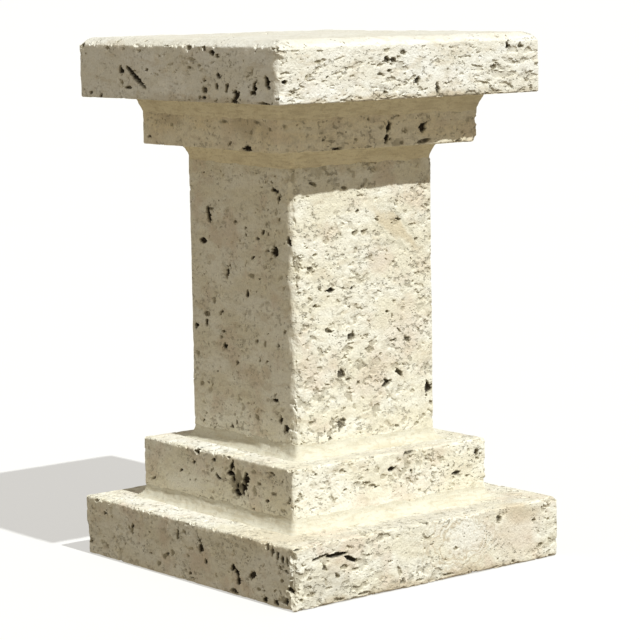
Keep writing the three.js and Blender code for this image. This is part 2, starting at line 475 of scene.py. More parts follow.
@dataclass(frozen=True)
class Travertine:
    """The finish of one block: cream limestone with beds, patches, veins and pores, with painted shade in
    its hollows and on its tops.
    """

    name: str
    shift: float
    bed_turn: Triple = (0.0, 0.0, 0.0)
    streaks: float = 0.3
    patches: float = 0.5
    stains: tuple[Stain, ...] = ()
    ground: Triple = CREAM
    pale: Triple = PALE
    # how far up-facing surfaces are darkened: painted shade on the sunlit tops, with some dust
    dust_and_top_shade: float = 0.15

    def material(self, centre: Iterable[float], turn: float) -> bpy.types.Material:
        """Make the material.

        Args:
            centre: The middle of the block.
            turn: The block's turn about Z, in degrees.

        Returns:
            The material.
        """
        graph = Graph(self.name)
        graph.centre_on(centre, turn)
        beds = graph.mapped(self.bed_turn, (1.0, 1.0, 2.6))
        layers = graph.noise(beds, 0.07, 5.0, self.shift)
        colour = graph.mix(layers.rise(0.38, 0.62), self.ground, self.pale)
        patches = graph.noise(graph.place, 0.05, 5.0, self.shift + 1.0)
        colour = graph.mix(patches.rise(0.5, 0.66) * self.patches, colour, PINKISH)
        blotches = graph.noise(beds, 0.024, 5.0, self.shift + 2.0)
        colour = graph.mix(blotches.rise(0.54, 0.68) * 0.4, colour, TAN)
        thin_beds = graph.mapped(self.bed_turn, (1.0, 1.0, 3.0))
        lines = (graph.noise(thin_beds, 0.03, 5.0, self.shift + 3.0) - 0.5).size()
        broken = graph.noise(graph.place, 0.04, 2.0, self.shift + 4.0).rise(0.45, 0.6)
        veins = (1.0 - lines.rise(0.0, 0.022)) * broken * self.streaks
        colour = graph.mix(veins, colour, VEIN)
        for stain in self.stains:
            colour = graph.mix(stain.share(graph), colour, stain.colour)
        calm = graph.node("ShaderNodeAttribute", {"attribute_name": CALM_LAYER}, {}, "Fac")
        whole = 1.0 - calm * 0.75
        soft = graph.noise(graph.mapped(self.bed_turn, (1.0, 1.0, 1.7)), 0.012, 5.0, self.shift + 8.0)
        colour = graph.mix(soft.rise(0.5, 0.66) * 0.42 * whole, colour, BEIGE)
        grain = graph.noise(graph.place, 0.0022, 3.0)
        colour = graph.shade(colour, grain * 0.4 + 0.8)
        flakes = graph.noise(graph.mapped(self.bed_turn, (1.0, 1.0, 1.4)), 0.0058, 3.0, self.shift + 6.0)
        gaps = graph.noise(graph.place, 0.034, 3.0, self.shift + 7.0).rise(0.42, 0.6)
        # painted shade, in part: pits that are only bumps are darkened as if shaded, with a brown rim tint
        pits = flakes.rise(0.57, 0.63) * gaps * whole
        colour = graph.mix(pits * 0.68, colour, PORE_RIM_AND_SHADE)
        # painted shade, in part: tiny pinholes are darkened as if shaded, with a brown tint
        specks = graph.node("ShaderNodeTexVoronoi", {}, {"Vector": graph.place, "Scale": 240.0}, "Distance")
        gather = graph.noise(graph.place, 0.018, 3.0, self.shift + 5.0).rise(0.5, 0.7)
        dots = (1.0 - specks.rise(0.12, 0.26)) * gather
        colour = graph.mix(dots * 0.7, colour, PORE_RIM_AND_SHADE)
        # painted shade in hollows: the pore layer darkens pores, flake pits and chips by their depth, brown
        # at first and black at the deepest
        pore = graph.node("ShaderNodeAttribute", {"attribute_name": PORE_SHADE_LAYER}, {}, "Fac")
        colour = graph.mix(pore.rise(0.0, 0.4), colour, PORE_RIM_AND_SHADE)
        colour = graph.mix(pore.rise(0.35, 0.9), colour, PORE_DEEP_SHADE)
        # painted shade with some dust: up-facing surfaces are darkened towards a grey tan, to tone down the
        # brighter sun on the tops
        facing = graph.node("ShaderNodeNewGeometry", {}, {}, "Normal")
        upright = graph.node("ShaderNodeSeparateXYZ", {}, {0: facing}, "Z")
        colour = graph.mix(upright.rise(0.6, 0.95) * self.dust_and_top_shade, colour, DUST_AND_SHADE)
        swells = graph.noise(graph.place, 0.007, 4.0, self.shift)
        height = swells * 0.7 + grain * 0.4 - dots * 0.8 - pits * 0.6
        graph.finish(colour, 0.86, height, 1.9 * MM, 1.0)
        return graph.material


@dataclass(frozen=True)
class Mortar:
    """The finish of the fillets: smooth cream mortar without pores."""

    name: str
    ground: Triple
    dark: Triple

    def material(self) -> bpy.types.Material:
        """Make the material."""
        graph = Graph(self.name)
        smears = graph.noise(graph.mapped((0.0, 0.0, 0.0), (1.0, 1.0, 3.0)), 0.03, 4.0)
        colour = graph.mix(smears.rise(0.45, 0.7) * 0.5, self.ground, self.dark)
        flecks = graph.noise(graph.mapped((0.0, 0.0, 0.0), (1.0, 1.0, 1.8)), 0.007, 4.0).rise(0.56, 0.62)
        colour = graph.mix(flecks * 0.4, colour, self.dark)
        streaks = graph.noise(graph.mapped((0.0, 0.0, 0.0), (1.0, 1.0, 7.0)), 0.02, 5.0)
        colour = graph.mix(streaks.rise(0.52, 0.62) * 0.5, colour, self.dark)
        sand = graph.noise(graph.place, 0.0018, 3.0)
        colour = graph.shade(colour, sand * 0.3 + 0.85)
        lumps = graph.noise(graph.place, 0.008, 4.0)
        height = lumps * 0.7 + sand * 0.4 - flecks * 0.3 + streaks * 0.6
        graph.finish(colour, 0.9, height, 1.0 * MM, 0.7)
        return graph.material


def only_select(piece: bpy.types.Object) -> None:
    """Make one object the selected and active one."""
    bpy.ops.object.select_all(action="DESELECT")
    piece.select_set(True)
    bpy.context.view_layer.objects.active = piece


def select_faces(piece: bpy.types.Object, chosen: np.ndarray) -> None:
    """Select just some of a mesh's faces and go into edit mode.

    Args:
        piece: The object, in object mode.
        chosen: True for each face that is wanted.
    """
    only_select(piece)
    mesh = piece.data
    mesh.vertices.foreach_set("select", np.zeros(len(mesh.vertices), bool))
    mesh.edges.foreach_set("select", np.zeros(len(mesh.edges), bool))
    mesh.polygons.foreach_set("select", chosen)
    bpy.context.tool_settings.mesh_select_mode = (False, False, True)
    bpy.ops.object.mode_set(mode="EDIT")


def corners_of(piece: bpy.types.Object) -> np.ndarray:
    """A mesh's points, as rows of three numbers."""
    flat = np.empty(len(piece.data.vertices) * 3)
    piece.data.vertices.foreach_get("co", flat)
    return flat.reshape(-1, 3)


def move_corners(piece: bpy.types.Object, points: np.ndarray) -> None:
    """Move a mesh's points to new places."""
    piece.data.vertices.foreach_set("co", points.ravel())
    piece.data.update()


def settle(piece: bpy.types.Object, name: str, turn: float, centre: np.ndarray) -> None:
    """Name a finished piece and put its place in its mesh.

    Args:
        piece: The object, made round the origin.
        name: The name it gets.
        turn: Its turn about Z, in degrees.
        centre: Where its origin goes.
    """
    place = Matrix.Translation(Vector(centre)) @ Matrix.Rotation(math.radians(turn), 4, "Z")
    piece.data.transform(place)
    piece.name = name
    piece.data.name = name


@dataclass
class StoneBlock:
    """One block of travertine, cut as a box and then worn, chipped and opened by pores."""

    node: str
    width: float
    turn: float
    seed: int
    finish: Travertine
    marks: tuple[Mark, ...]
    chips: tuple[Chip, ...] = ()
    bed: Triple = (0.0, 0.0, 1.0)
    cell: float = 3.6 * MM
    foot_round: float = 2.6 * MM
    top_round: float = 3.0 * MM
    corner_round: float = 2.6 * MM
    front_round: float = 4.5 * MM
    south_top_round: float = 3.0 * MM
    pore_spacing: float = 21.0 * MM
    chip_spacing: float = 15.0 * MM
    flake_depth: float = 2.2 * MM
    flake_size: float = 8.5 * MM
    flake_share: float = 0.52
    triangles: int = 180000
    open_from: float = 0.0
    brow_rise: float = 0.0
    brow_reach: float = 16.0 * MM
    brow_fullness: float = 1.7
    bed_stretch: float = 0.25
    calms: tuple[Calm, ...] = ()
    plain_calm: float = 0.35
    half: np.ndarray = field(init=False)
    centre: np.ndarray = field(init=False)

    def __post_init__(self) -> None:
        """Take the block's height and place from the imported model."""
        low, high = (np.array(corner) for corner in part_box(self.node))
        self.half = np.array([self.width, self.width, high[2] - low[2]]) / 2.0
        self.centre = (low + high) / 2.0
        shift = UPPER_SHIFT if low[2] > 1.0 * MM else (0.0, 0.0)
        self.centre[:2] = shift

    def build(self) -> bpy.types.Object:
        """Make and dress the block.

        Returns:
            The finished object.
        """
        random = np.random.default_rng(self.seed)
        piece = self._cut_box()
        hollows = self._mark_hollows() + self._pores(random)
        chips = self._chip_hollows() + self._small_chips(random)
        self._refine(piece, hollows + chips)
        self._weather(piece, hollows, chips)
        self._thin(piece)
        settle(piece, self.node + "_stone", self.turn, self.centre)
        piece.data.materials.append(self.finish.material(self.centre, self.turn))
        bpy.ops.object.shade_smooth_by_angle(angle=math.radians(42.0))
        return piece

    def _cut_box(self) -> bpy.types.Object:
        """A box of the block's size, cut into a grid of even cells."""
        bpy.ops.object.select_all(action="DESELECT")
        bpy.ops.mesh.primitive_cube_add(size=1.0)
        piece = bpy.context.object
        bpy.ops.object.mode_set(mode="EDIT")
        bpy.ops.transform.resize(value=tuple(self.half * 2.0))
        for axis in range(3):
            mesh = bmesh.from_edit_mesh(piece.data)
            span = self.half[axis] * 1.9
            for edge in mesh.edges:
                edge.select_set(abs(edge.verts[0].co[axis] - edge.verts[1].co[axis]) > span)
            bmesh.update_edit_mesh(piece.data)
            cuts = min(100, round(self.half[axis] * 2.0 / self.cell) - 1)
            bpy.ops.mesh.subdivide(number_cuts=cuts)
        bpy.ops.object.mode_set(mode="OBJECT")
        return piece

    def _hollow(self, face: Face, across: float, up: float, radii: Iterable[float], lean: float) -> Hollow:
        """A hollow in a face.

        Args:
            face: The face.
            across: Its place across, as a distance from the middle.
            up: Its place up, as a distance from the middle.
            radii: Its half width, half height and depth.
            lean: How far its far end across is lifted, in radians.

        Returns:
            The hollow.
        """
        middle = -face.inward * self.half
        centre = middle + face.across * across + face.up * up
        sideways = face.across * math.cos(lean) + face.up * math.sin(lean)
        upward = face.up * math.cos(lean) - face.across * math.sin(lean)
        return Hollow(centre, np.stack([sideways, upward, face.inward]), np.array(list(radii)))

    def _mark_hollows(self) -> list[Hollow]:
        """The pores and slots that were read off the photograph."""
        made = []
        for mark in self.marks:
            across = mark.across * float(abs(mark.face.across) @ self.half)
            up = (mark.up * 2.0 - 1.0) * float(abs(mark.face.up) @ self.half)
            radii = (mark.wide_mm * MARK_SPREAD, mark.tall_mm * MARK_SPREAD, mark.deep_mm * MM)
            hollow = self._hollow(mark.face, across, up, radii, math.radians(mark.lean))
            # painted shade: marks in the sunlit south face get a lighter painted bottom than marks in the
            # shaded faces
            lit = 0.25 + 0.12 * mark.deep_mm
            made.append(replace(hollow, painted_shade=min(lit, 1.0) if mark.face is Face.SOUTH else 1.0))
        return made

    def _lowered(self, hollow: Hollow) -> Hollow:
        """The hollow at its place on a block with a worn brow."""
        return replace(hollow, centre=self._wear_brow(hollow.centre[None, :])[0])

    def _pores(self, random: np.random.Generator) -> list[Hollow]:
        """Small pores all over, drawn out along the beds and gathered in swarms."""
        bed = np.array(self.bed) / np.linalg.norm(self.bed)
        made = []
        for face in Face:
            wide = float(abs(face.across) @ self.half) - 2.0 * MM
            tall = float(abs(face.up) @ self.half) - 2.0 * MM
            spacing = self.pore_spacing * (1.0 if face in SEEN_SIDES else 1.35)
            count = int(4.0 * wide * tall / spacing**2)
            lean = math.atan2(-float(bed @ face.across), float(bed @ face.up))
            across = random.uniform(-wide, wide, count)
            up = random.uniform(-tall, tall, count)
            places = np.outer(across, face.across) + np.outer(up, face.up) - face.inward * self.half
            along_beds = places + np.outer(places @ bed, bed) * 2.0
            keep = smooth_step(noise(along_beds, 0.045, self.seed), -0.7, 0.5) > random.random(count) * 0.85
            sizes = np.clip(random.lognormal(math.log(1.0), 0.5, count), 0.5, 3.4) * MM
            stretch = 1.0 + 0.9 * random.random(count) ** 2
            leans = lean + random.normal(0.0, 0.3, count)
            depths = sizes * random.uniform(0.9, 1.7, count) + 0.6 * MM
            for pore in np.flatnonzero(keep):
                radii = (sizes[pore] * stretch[pore], sizes[pore] / stretch[pore] ** 0.4, depths[pore])
                hollow = self._hollow(face, across[pore], up[pore], radii, leans[pore])
                # painted shade: pores in the sunlit south face get less of it than pores in the shaded faces
                made.append(replace(hollow, painted_shade=0.6 if face is Face.SOUTH else 0.85))
        return made

    def _calmness(self, points: np.ndarray) -> np.ndarray:
        """How whole and smooth the skin is.

        Args:
            points: Points of the uncut box.

        Returns:
            A number from 0 to 1 for each point.
        """
        past = np.maximum(abs(points[:, 0]) - self.half[0], points[:, 1] - self.half[1])
        total = self.plain_calm * smooth_step(past, -3.0 * MM, -0.5 * MM)
        ragged = 0.25 * noise(points, 0.02, self.seed + 9) + 0.12 * noise(points, 0.006, self.seed + 10)
        for calm in self.calms:
            across = calm.across * float(abs(calm.face.across) @ self.half)
            up = (calm.up * 2.0 - 1.0) * float(abs(calm.face.up) @ self.half)
            radii = (calm.wide_mm * MM / 2.0, calm.tall_mm * MM / 2.0, 4.0 * MM)
            local = self._hollow(calm.face, across, up, radii, math.radians(calm.lean)).local(points)
            reach = np.hypot(local[:, 0] / radii[0], local[:, 1] / radii[1]) + ragged
            share = (1.0 - smooth_step(reach, 0.7, 1.1)) * (local[:, 2] < radii[2])
            total = np.maximum(total, share)
        return total

    def _arris_hollow(
        self, first: Face, second: Face, along: float, radii: Iterable[float], painted_shade: float = 0.12
    ) -> Hollow:
        """A hollow on the arris between two faces.

        Args:
            first: One face.
            second: The other face.
            along: Its place along the arris, as a share from -1 to 1.
            radii: Its half length, half width and depth.
            painted_shade: How dark its bottom is.

        Returns:
            The hollow.
        """
        # its bottom gets painted shade, as dark as asked
        inward = (first.inward + second.inward) / math.sqrt(2.0)
        line = abs(np.cross(first.inward, second.inward))
        centre = -(first.inward + second.inward) * self.half + line * along * self.half
        axes = np.stack([line, np.cross(line, inward), inward])
        return Hollow(centre, axes, np.array(list(radii)), painted_shade)

    def _chip_hollows(self) -> list[Hollow]:
        """The chips that were read off the photograph."""
        return [
            self._arris_hollow(
                chip.first, chip.second, chip.along,
                (chip.long_mm * MM / 2.0, chip.wide_mm * MM / 2.0, chip.deep_mm * MM),
            )
            for chip in self.chips
        ]

    def _small_chips(self, random: np.random.Generator) -> list[Hollow]:
        """Small chips along every arris."""
        pairs = [(side, end) for side in SIDES for end in (Face.TOP, Face.FOOT)]
        pairs += list(zip(SIDES, SIDES[1:] + SIDES[:1]))
        made = []
        for first, second in pairs:
            line = abs(np.cross(first.inward, second.inward))
            count = int(2.0 * float(line @ self.half) / self.chip_spacing)
            for _ in range(count):
                length = min(random.lognormal(math.log(3.0), 0.5), 12.0) * MM
                width = length * random.uniform(0.35, 0.8) + 1.2 * MM
                depth = random.uniform(0.9, 1.4) * self.top_round * 0.45 + length * 0.2
                if second is Face.TOP and first is Face.WEST:
                    width *= 1.6
                    depth += 0.5 * MM
                if second is Face.FOOT:
                    width += 1.6 * MM
                    depth += 0.5 * MM
                place = random.uniform(-0.99, 0.99)
                # painted shade: chips on the foot arris, shaded by the block below, get a darker bottom
                painted_shade = 0.6 if second is Face.FOOT else 0.12
                radii = (length / 2.0, width / 2.0, depth)
                made.append(self._arris_hollow(first, second, place, radii, painted_shade))
        return made

    def _refine(self, piece: bpy.types.Object, hollows: list[Hollow]) -> None:
        """Cut the cells smaller near the arrises and near each hollow.

        Args:
            piece: The block.
            hollows: All that will be taken out of it.
        """
        for level, margin in enumerate(REFINE_MARGINS):
            faces = piece.data.polygons
            flat = np.empty(len(faces) * 3)
            faces.foreach_get("center", flat)
            centres = flat.reshape(-1, 3)
            near = np.sort(self.half - abs(centres), axis=1)
            chosen = near[:, 1] < ARRIS_BANDS[level]
            if level == 0:
                chosen |= self._in_sight(centres)
            if level == 1:
                chosen |= self._in_sight(centres) & (abs(self._flake_field(centres)) < 0.2)
            buckets = Buckets(centres, 12.0 * MM)
            for hollow in hollows:
                found = buckets.near(hollow.centre, float(hollow.radii.max()) + margin)
                local = abs(hollow.local(centres[found]))
                share = local / (hollow.radii + margin)
                chosen[found[(share[:, 0] ** 2 + share[:, 1] ** 2 < 1.0) & (share[:, 2] < 1.5)]] = True
            select_faces(piece, chosen)
            bpy.ops.mesh.subdivide(number_cuts=1)
            bpy.ops.object.mode_set(mode="OBJECT")
            log.info("%s: %d cells after pass %d", self.node, len(piece.data.polygons), level)

    def _in_sight(self, points: np.ndarray) -> np.ndarray:
        """True for each point that lies on a side that faces the front or on open top."""
        west = points[:, 0] < -self.half[0] + SURFACE
        south = points[:, 1] < -self.half[1] + SURFACE
        rim = abs(points[:, :2]).max(axis=1) > self.open_from
        top = (points[:, 2] > self.half[2] - SURFACE) & rim
        return west | south | top

    def _flake_field(self, points: np.ndarray) -> np.ndarray:
        """Noise that is above 0 where a flake of the skin has come off.

        Args:
            points: Points of the uncut box.

        Returns:
            One number for each point.
        """
        bed = np.array(self.bed) / np.linalg.norm(self.bed)
        along = points + np.outer(points @ bed, bed) * self.bed_stretch
        field_value = noise(along, self.flake_size, self.seed + 11)
        field_value += 0.6 * noise(along, self.flake_size * 0.45, self.seed + 12)
        field_value += 0.25 * noise(along, self.flake_size * 0.22, self.seed + 13)
        swarm = noise(points, 34.0 * MM, self.seed + 14) * 0.45
        swarm += noise(points, 90.0 * MM, self.seed + 15) * 0.3
        near = np.sort(self.half - abs(points), axis=1)[:, 1]
        arris = 0.3 * (1.0 - smooth_step(near, 0.0, 5.0 * MM))
        return field_value + swarm + arris - self.flake_share - 0.9 * self._calmness(points)

    def _round_arrises(self, points: np.ndarray) -> tuple[np.ndarray, np.ndarray]:
        """Round the arrises by an uneven amount.

        Args:
            points: The box's points.

        Returns:
            The rounded points, and the way out of the stone at each.
        """
        height = points[:, 2]
        top = smooth_step(height, self.half[2] - 14.0 * MM, self.half[2] - 7.0 * MM)
        foot = smooth_step(-height, self.half[2] - 14.0 * MM, self.half[2] - 7.0 * MM)
        front = smooth_step(-points[:, :2].sum(axis=1), self.half[0] * 1.7, self.half[0] * 1.9)
        upright = self.corner_round + (self.front_round - self.corner_round) * front
        south = smooth_step(-points[:, 1], self.half[1] - 12.0 * MM, self.half[1] - 6.0 * MM)
        brow = self.top_round + (self.south_top_round - self.top_round) * south
        radius = upright * (1.0 - top - foot) + brow * top + self.foot_round * foot
        uneven = 1.0 + 0.45 * noise(points, 0.024, self.seed + 1) + 0.3 * noise(points, 0.007, self.seed + 2)
        radius = np.clip(radius * uneven, 0.5 * MM, 15.0 * MM)[:, None]
        core = np.clip(points, -(self.half - radius), self.half - radius)
        out = points - core
        out /= np.linalg.norm(out, axis=1)[:, None]
        return core + out * radius, out

    def _wear_brow(self, points: np.ndarray) -> np.ndarray:
        """Lower the top towards its arrises, where the block has a worn brow.

        Args:
            points: Points of the block with a flat top.

        Returns:
            The points at their new heights.
        """
        worn = points.copy()
        if self.brow_rise:
            round_plan = 8.0 * MM
            past = abs(points[:, :2]) - (self.half[:2] - round_plan)
            beside = np.minimum(past.max(axis=1), 0.0)
            inset = round_plan - np.hypot(*np.maximum(past, 0.0).T) - beside
            swing = 1.0 + 0.25 * noise(points, 0.05, self.seed + 8)
            share = np.clip(1.0 - inset / (self.brow_reach * swing), 0.0, 1.0)
            lift = self.brow_rise * (1.0 - share**self.brow_fullness)
            top = np.clip((points[:, 2] - self.half[2]) / (3.0 * MM) + 1.0, 0.0, 1.0)
            squeeze = 1.0 - self.brow_rise / (2.0 * self.half[2])
            worn[:, 2] = points[:, 2] * squeeze - self.brow_rise / 2.0 + lift * top
        return worn

    def _weather(self, piece: bpy.types.Object, hollows: list[Hollow], chips: list[Hollow]) -> None:
        """Shape the surface: worn arrises, uneven faces, grooved beds, pores and chips.

        Args:
            piece: The block, with its cells.
            hollows: Its pores and slots.
            chips: Its chips.
        """
        box = corners_of(piece)
        points, out = self._round_arrises(box)
        sunk = 0.25 * MM * (1.0 + noise(box, 0.06, self.seed + 3))
        sunk += 0.16 * MM * (1.0 + noise(box, 0.011, self.seed + 4))
        flaked = smooth_step(self._flake_field(box), 0.0, 0.15)
        deep = 0.62 + 0.38 * noise(box, 0.012, self.seed + 5)
        sunk += self.flake_depth * flaked * deep
        points = self._wear_brow(points - out * sunk[:, None])
        rough = [noise(box, size * MM, self.seed + 7) for size in (1.3, 3.0, 8.0)]
        # painted shade in the flaked recesses, by their depth
        pore = 0.3 * flaked * deep
        buckets = Buckets(points, 8.0 * MM)
        for hollow in chips:
            self._bite(points, pore, buckets, self._lowered(hollow), rough, 2.0)
        for hollow in hollows:
            self._bite(points, pore, buckets, self._lowered(hollow), rough, 4.0)
        move_corners(piece, points)
        layer = piece.data.attributes.new(PORE_SHADE_LAYER, "FLOAT", "POINT")
        layer.data.foreach_set("value", pore)
        layer = piece.data.attributes.new(CALM_LAYER, "FLOAT", "POINT")
        layer.data.foreach_set("value", self._calmness(box))

    def _bite(
        self,
        points: np.ndarray,
        pore: np.ndarray,
        buckets: Buckets,
        hollow: Hollow,
        rough: list[np.ndarray],
        power: float,
    ) -> None:
        """Push the surface in where a hollow is.

        Args:
            points: The block's points, which are moved.
            pore: How dark each point is painted as shade, which is raised.
            buckets: The points, sorted.
            hollow: The hollow.
            rough: Noise at each point, from fine to coarse.
            power: How steep its sides are.
        """
        found = buckets.near(hollow.centre, float(hollow.radii.max()) * 1.5)
        if not len(found):
            return
        size = float(hollow.radii[:2].min())
        calm = 1.0 / (1.0 + 0.5 * (float(hollow.radii[:2].max()) / size - 1.0))
        scale = 0 if size < 1.6 * MM else 1 if size < 5.0 * MM else 2
        local = hollow.local(points[found])
        spread = 0.86 * np.hypot(local[:, 0] / hollow.radii[0], local[:, 1] / hollow.radii[1])
        spread *= 1.0 + calm * (0.62 * rough[scale][found] + 0.32 * rough[max(scale - 1, 0)][found])
        inside = np.clip(1.0 - spread**power, 0.0, 1.0)
        limit = hollow.radii[2] * np.sqrt(inside) * (1.0 + 0.3 * rough[max(scale - 1, 0)][found])
        sink = np.where((inside > 0.0) & (local[:, 2] > -hollow.radii[2] * 1.5), limit - local[:, 2], 0.0)
        sink = np.maximum(sink, 0.0)
        points[found] += sink[:, None] * hollow.axes[2]
        # the point's painted shade grows with how deep it was pushed in
        pore[found] = np.maximum(pore[found], hollow.painted_shade * np.clip(sink / SHADE_FULL_DEPTH, 0.0, 1.0) ** 1.3)

    def _thin(self, piece: bpy.types.Object) -> None:
        """Take out triangles where the surface is plain, down to the block's share."""
        piece.data.calc_loop_triangles()
        count = len(piece.data.loop_triangles)
        if count > self.triangles:
            only_select(piece)
            thinner = piece.modifiers.new("thin", "DECIMATE")
            thinner.ratio = self.triangles / count
            bpy.ops.object.modifier_apply(modifier=thinner.name)
        log.info("%s: %d triangles before thinning", self.node, count)


@dataclass
class MortarFillet:
    """A ring of mortar in the inner corner between a narrow block and a wide one.

    Its section is measured out from the narrow block's side and away from the wide block's face,
    and its direction is 1 at a foot and -1 under an overhang.
    """

    node: str
    narrow: StoneBlock
    wide: StoneBlock
    direction: float
    seed: int
    finish: Mortar
    reach: float = 10.0 * MM
    rise: float = 15.0 * MM
    edge: float = -0.35 * MM
    bury: float = 2.6 * MM
    sag: float = 0.8
    cell: float = 1.9 * MM
    uneven: float = 1.0
    ring_out: float = field(init=False, default=0.0)
    ring_away: float = field(init=False, default=0.0)

    def build(self) -> bpy.types.Object:
        """Make and dress the fillet.

        Returns:
            The finished object.
        """
        piece = self._base_ring()
        for out, away in self._section():
            self._add_ring(piece, out, away)
        self._close(piece)
        self._trowel(piece)
        settle(piece, self.node + "_mortar", self.narrow.turn, self._corner_centre())
        piece.data.materials.append(self.finish.material())
        bpy.ops.object.shade_smooth_by_angle(angle=math.radians(60.0))
        return piece

    def _corner_centre(self) -> np.ndarray:
        """The middle of the plane in which the two blocks meet, on the wide block's side."""
        centre = self.narrow.centre.copy()
        centre[2] = self.wide.centre[2] + self.direction * self.wide.half[2]
        return centre

    def _section(self) -> list[tuple[float, float]]:
        """The section's points, as distances out and away, from its hidden corner round."""
        points = [(self.reach * 0.5, -self.bury), (self.reach, -self.bury)]
        steps = 12
        for step in range(steps + 1):
            share = step / steps
            angle = share * math.pi / 2.0
            wide = self.reach - self.edge
            tall = self.rise - self.edge
            out = 1.0 - share + (share - math.sin(angle)) * self.sag
            away = share + (1.0 - share - math.cos(angle)) * self.sag
            points.append((self.edge + wide * out, self.edge + tall * away))
        points += [(-self.bury, self.rise), (-self.bury, self.rise * 0.5)]
        return points

    def _base_ring(self) -> bpy.types.Object:
        """The hidden first ring, a square with round corners cut into short edges."""
        half = float(self.narrow.half[0]) - self.bury
        bpy.ops.object.select_all(action="DESELECT")
        bpy.ops.mesh.primitive_plane_add(size=half * 2.0)
        piece = bpy.context.object
        bpy.ops.object.mode_set(mode="EDIT")
        bpy.ops.transform.translate(value=(0.0, 0.0, -self.bury * self.direction))
        bpy.ops.mesh.bevel(offset=RING_CORNER, offset_type="OFFSET", segments=5, affect="VERTICES")
        bpy.ops.mesh.select_all(action="SELECT")
        bpy.ops.mesh.delete(type="ONLY_FACE")
        mesh = bmesh.from_edit_mesh(piece.data)
        for edge in mesh.edges:
            edge.select_set(edge.calc_length() > half)
        bmesh.update_edit_mesh(piece.data)
        bpy.ops.mesh.subdivide(number_cuts=min(100, round(half * 2.0 / self.cell)))
        bpy.ops.mesh.select_all(action="SELECT")
        self.ring_out = -self.bury
        self.ring_away = -self.bury
        return piece

    def _add_ring(self, piece: bpy.types.Object, out: float, away: float) -> None:
        """Extrude the last ring to a new place in the section.

        Args:
            piece: The fillet, in edit mode with its last ring selected; not used.
            out: The new ring's distance out.
            away: Its distance away.
        """
        half = float(self.narrow.half[0])
        step = self.direction * (away - self.ring_away)
        scale = (half + out) / (half + self.ring_out)
        bpy.ops.mesh.extrude_edges_move(TRANSFORM_OT_translate={"value": (0.0, 0.0, step)})
        bpy.ops.transform.resize(value=(scale, scale, 1.0), center_override=(0.0, 0.0, 0.0))
        self.ring_out = out
        self.ring_away = away

    def _close(self, piece: bpy.types.Object) -> None:
        """Join the last ring to the first and turn the faces outwards."""
        bpy.ops.mesh.select_all(action="DESELECT")
        bpy.ops.mesh.select_mode(type="EDGE")
        bpy.ops.mesh.select_non_manifold()
        bpy.ops.mesh.bridge_edge_loops()
        bpy.ops.mesh.select_all(action="SELECT")
        bpy.ops.mesh.normals_make_consistent(inside=False)
        bpy.ops.mesh.quads_convert_to_tris()
        bpy.ops.object.mode_set(mode="OBJECT")

    def _trowel(self, piece: bpy.types.Object) -> None:
        """Make the mortar uneven, as it was smeared by hand."""
        points = corners_of(piece)
        half = float(self.narrow.half[0]) - RING_CORNER
        core = points.copy()
        core[:, :2] = np.clip(points[:, :2], -half, half)
        side = points - core
        side[:, 2] = 0.0
        length = np.linalg.norm(side, axis=1)
        side /= np.maximum(length, 1e-9)[:, None]
        core[:, 2] = 0.0
        out = length - RING_CORNER
        away = points[:, 2] * self.direction
        swell = 0.7 * noise(core, 0.045, self.seed) + 0.6 * noise(core, 0.011, self.seed + 1)
        wave = noise(core, 0.038, self.seed + 2) + 0.5 * noise(core, 0.012, self.seed + 3)
        crumb = noise(points, 0.004, self.seed + 4)
        belly = noise(points, 0.011, self.seed + 5)
        along = core * 0.14
        along[:, 2] = away - out * 0.6
        smear = noise(along, 2.4 * MM, self.seed + 6) + 0.5 * noise(along, 1.2 * MM, self.seed + 7)
        free = smooth_step(np.minimum(out, away), -1.0 * MM, 0.5 * MM)
        up_share = np.clip(away / self.rise, 0.0, 1.2)
        out_share = np.clip(out / self.reach, 0.0, 1.2)
        new_away = away + up_share * swell * 2.2 * MM * self.uneven
        new_out = out + out_share * wave * 1.2 * MM * self.uneven
        new_out += free * (0.3 * belly + 0.22 * crumb + 0.4 * smear) * MM * self.uneven
        new_away += free * (0.3 * belly + 0.12 * crumb) * MM * self.uneven
        moved = core + side * (new_out + RING_CORNER)[:, None]
        moved[:, 2] = new_away * self.direction
        move_corners(piece, moved)


